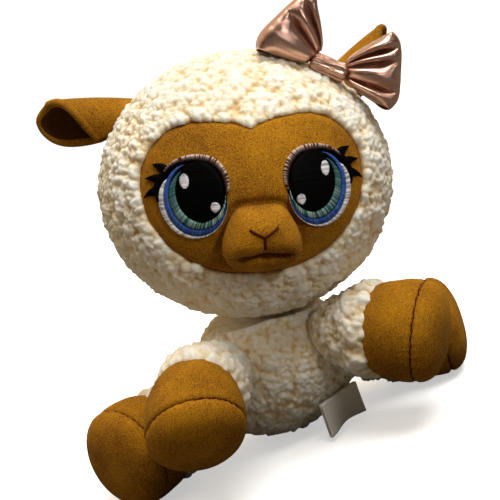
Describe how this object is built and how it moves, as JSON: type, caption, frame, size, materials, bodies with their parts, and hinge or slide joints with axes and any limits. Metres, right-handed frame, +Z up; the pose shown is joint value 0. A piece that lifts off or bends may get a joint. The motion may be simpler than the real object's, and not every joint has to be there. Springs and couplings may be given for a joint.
{
  "type": "plush lamb",
  "caption": "Sitting plush lamb with a large fleece head, suede face, curled ears, stubby hoofed legs, embroidered eyes and a foil bow on the crown.",
  "frame": {"origin": "middle of the flat seat under the body, on the surface that the toy sits on", "axes": "+Z up, the face looks along -Y, +X towards the viewer's right as the toy faces the viewer"},
  "size_m": [0.1991, 0.1337, 0.1936],
  "materials": {
    "fleece": "curly sherpa pile",
    "suede": "short-napped faux suede",
    "ear_lining": "short-napped faux suede, lining",
    "stuffing": "loose polyester fibre",
    "foil": "rose-gold metallic foil cloth",
    "black_thread": "satin stitch",
    "white_thread": "satin stitch",
    "blue_thread": "satin stitch",
    "teal_thread": "satin stitch",
    "rose_thread": "satin stitch",
    "brown_thread": "satin stitch",
    "tape": "satin care-label tape, blank"
  },
  "bodies": {
    "torso": {"torso_cover": "fleece", "torso_stuffing": "stuffing"},
    "head": {"head_cover": "fleece", "head_stuffing": "stuffing", "face_panel": "suede", "muzzle_upper": "suede", "muzzle_chin": "suede", "nose_stitch": "brown_thread", "left_pupil": "black_thread", "left_iris_inner": "teal_thread", "left_iris_outer": "blue_thread", "left_eye_white": "white_thread", "left_lid": "rose_thread", "left_lashes": "black_thread", "left_large_glint": "white_thread", "left_small_glint": "white_thread", "right_pupil": "black_thread", "right_iris_inner": "teal_thread", "right_iris_outer": "blue_thread", "right_eye_white": "white_thread", "right_lid": "rose_thread", "right_lashes": "black_thread", "right_large_glint": "white_thread", "right_small_glint": "white_thread", "bow_knot": "foil", "bow_left_loop": "foil", "bow_right_loop": "foil"},
    "left_ear": {"left_ear_outer": "suede", "left_ear_lining": "ear_lining"},
    "right_ear": {"right_ear_outer": "suede", "right_ear_lining": "ear_lining"},
    "left_front_leg": {"left_front_sleeve": "fleece", "left_front_hoof": "suede", "left_front_sole": "suede", "left_front_stuffing": "stuffing"},
    "right_front_leg": {"right_front_sleeve": "fleece", "right_front_hoof": "suede", "right_front_sole": "suede", "right_front_stuffing": "stuffing"},
    "left_hind_leg": {"left_hind_sleeve": "fleece", "left_hind_hoof": "suede", "left_hind_sole": "suede", "left_hind_stuffing": "stuffing"},
    "right_hind_leg": {"right_hind_sleeve": "fleece", "right_hind_hoof": "suede", "right_hind_sole": "suede", "right_hind_stuffing": "stuffing"},
    "tail": {"tail": "fleece"},
    "label": {"care_label": "tape"}
  },
  "joints": [
    {"name": "neck_tilt", "type": "hinge", "parent": "torso", "child": "head", "pos_m": [0, -0.003, 0.062], "axis": [0, 1, 0], "range_deg": [-18, 1.5], "stiffness_Nm_per_rad": 0.6},
    {"name": "left_ear_flap", "type": "hinge", "parent": "head", "child": "left_ear", "pos_m": [-0.02521, 0.00804, 0.16818], "axis": [0.1437, 0.989, -0.0345], "range_deg": [-15, 15], "stiffness_Nm_per_rad": 0.02},
    {"name": "right_ear_flap", "type": "hinge", "parent": "head", "child": "right_ear", "pos_m": [0.06682, -0.00598, 0.15231], "axis": [-0.1437, -0.989, 0.0345], "range_deg": [-15, 15], "stiffness_Nm_per_rad": 0.02},
    {"name": "left_front_leg_swing", "type": "hinge", "parent": "torso", "child": "left_front_leg", "pos_m": [-0.02622, -0.02566, 0.045], "axis": [-0.6428, 0.766, 0], "range_deg": [-8, 14], "stiffness_Nm_per_rad": 0.1},
    {"name": "right_front_leg_swing", "type": "hinge", "parent": "torso", "child": "right_front_leg", "pos_m": [0.02622, -0.02566, 0.045], "axis": [-0.788, -0.6157, 0], "range_deg": [-10, 5], "stiffness_Nm_per_rad": 0.1},
    {"name": "left_hind_leg_splay", "type": "hinge", "parent": "torso", "child": "left_hind_leg", "pos_m": [-0.04015, 0.00123, 0.0225], "axis": [0, 0, 1], "range_deg": [-30, 3], "stiffness_Nm_per_rad": 0.1},
    {"name": "right_hind_leg_splay", "type": "hinge", "parent": "torso", "child": "right_hind_leg", "pos_m": [0.04015, 0.00123, 0.0225], "axis": [0, 0, -1], "range_deg": [-30, 5], "stiffness_Nm_per_rad": 0.1},
    {"name": "tail_wag", "type": "hinge", "parent": "torso", "child": "tail", "pos_m": [0, 0.03522, 0.022], "axis": [0, 0, 1], "range_deg": [-30, 30], "stiffness_Nm_per_rad": 0.01},
    {"name": "label_flap", "type": "hinge", "parent": "torso", "child": "label", "pos_m": [0.01802, -0.02991, 0.018], "axis": [-0.8829, -0.4695, 0], "range_deg": [0, 60], "stiffness_Nm_per_rad": 0.0004}
  ]
}
